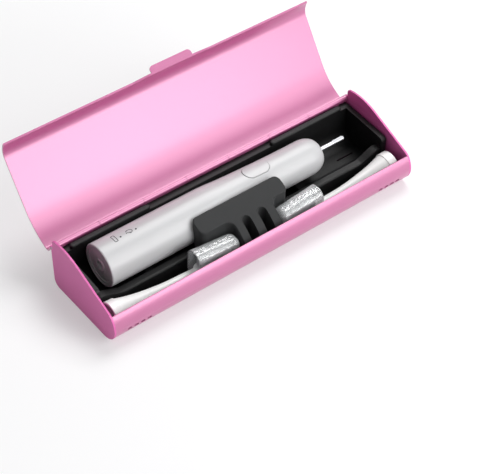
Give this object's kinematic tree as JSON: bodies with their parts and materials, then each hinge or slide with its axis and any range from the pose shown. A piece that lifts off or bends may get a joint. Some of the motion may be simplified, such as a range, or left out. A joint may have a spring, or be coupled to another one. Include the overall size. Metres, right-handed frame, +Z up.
{
  "type": "electric toothbrush travel case",
  "caption": "Long hinged travel case, open, with a moulded tray holding an electric toothbrush, a slotted rubber holder and capped brush heads.",
  "frame": {"origin": "centre of the case's flat bottom face", "axes": "+X along the case towards the toothbrush's brush end, +Y towards the hinge, +Z up; all sizes built in millimetres and stored in metres"},
  "size_m": [0.23, 0.1124, 0.0857],
  "materials": {
    "pink_shell": "satin anodised pink",
    "steel_pin": "drawn",
    "black_tray": "fine matt grain",
    "grey_rubber": "soft touch",
    "white_housing": "satin white",
    "dark_base": "semi gloss",
    "pale_seal": "smooth",
    "cell_wrap": "shrink wrap",
    "motor_can": "drawn can",
    "coil_wire": "enamelled wire",
    "frame_plastic": "moulded",
    "board_green": "solder mask",
    "light_lens": "smoked",
    "shaft_steel": "ground",
    "head_white": "gloss white",
    "bristle_nylon": "nylon filament",
    "clear_cap": "clear"
  },
  "bodies": {
    "case": {"base_shell": "pink_shell", "left_end_plate": "pink_shell", "right_end_plate": "pink_shell", "hinge_pin": "steel_pin", "inner_tray": "black_tray"},
    "lid": {"lid_shell": "pink_shell"},
    "toothbrush": {"handle_housing": "white_housing", "base_cap": "dark_base", "seal_ring": "pale_seal", "charging_coil": "coil_wire", "inner_frame": "frame_plastic", "battery": "cell_wrap", "drive_motor": "motor_can", "circuit_board": "board_green", "indicator_lenses": "light_lens", "shaft_seal": "pale_seal"},
    "button": {"power_button": "white_housing"},
    "shaft": {"drive_shaft": "shaft_steel"},
    "holder": {"brush_holder": "grey_rubber"},
    "left_head": {"left_brush_neck": "head_white", "left_shaft_socket": "frame_plastic", "left_bristles": "bristle_nylon"},
    "right_head": {"right_brush_neck": "head_white", "right_shaft_socket": "frame_plastic", "right_bristles": "bristle_nylon"},
    "left_cap": {"left_head_cap": "clear_cap"},
    "right_cap": {"right_head_cap": "clear_cap"}
  },
  "joints": [
    {"name": "lid_hinge", "type": "hinge", "parent": "case", "child": "lid", "pos_m": [0, 0.032, 0.0308], "axis": [-1, 0, 0], "range_deg": [-145, 0]},
    {"name": "toothbrush_lift", "type": "slide", "parent": "case", "child": "toothbrush", "axis": [0, 0, 1], "range_m": [0, 0.06]},
    {"name": "holder_lift", "type": "slide", "parent": "toothbrush", "child": "holder", "axis": [0, 0, 1], "range_m": [0, 0.05]},
    {"name": "button_press", "type": "slide", "parent": "toothbrush", "child": "button", "axis": [0, 0, -1], "range_m": [0, 0.0008], "stiffness_N_per_m": 2000},
    {"name": "shaft_swing", "type": "hinge", "parent": "toothbrush", "child": "shaft", "pos_m": [0.08, 0.01075, 0.021], "axis": [1, 0, 0], "range_deg": [-6, 6], "stiffness_Nm_per_rad": 0.02},
    {"name": "left_head_lift", "type": "slide", "parent": "case", "child": "left_head", "axis": [0, 0, 1], "range_m": [0, 0.05]},
    {"name": "right_head_lift", "type": "slide", "parent": "case", "child": "right_head", "axis": [0, 0, 1], "range_m": [0, 0.05]},
    {"name": "left_cap_lift", "type": "slide", "parent": "left_head", "child": "left_cap", "axis": [0, 0, 1], "range_m": [0, 0.022]},
    {"name": "right_cap_lift", "type": "slide", "parent": "right_head", "child": "right_cap", "axis": [0, 0, 1], "range_m": [0, 0.022]}
  ]
}
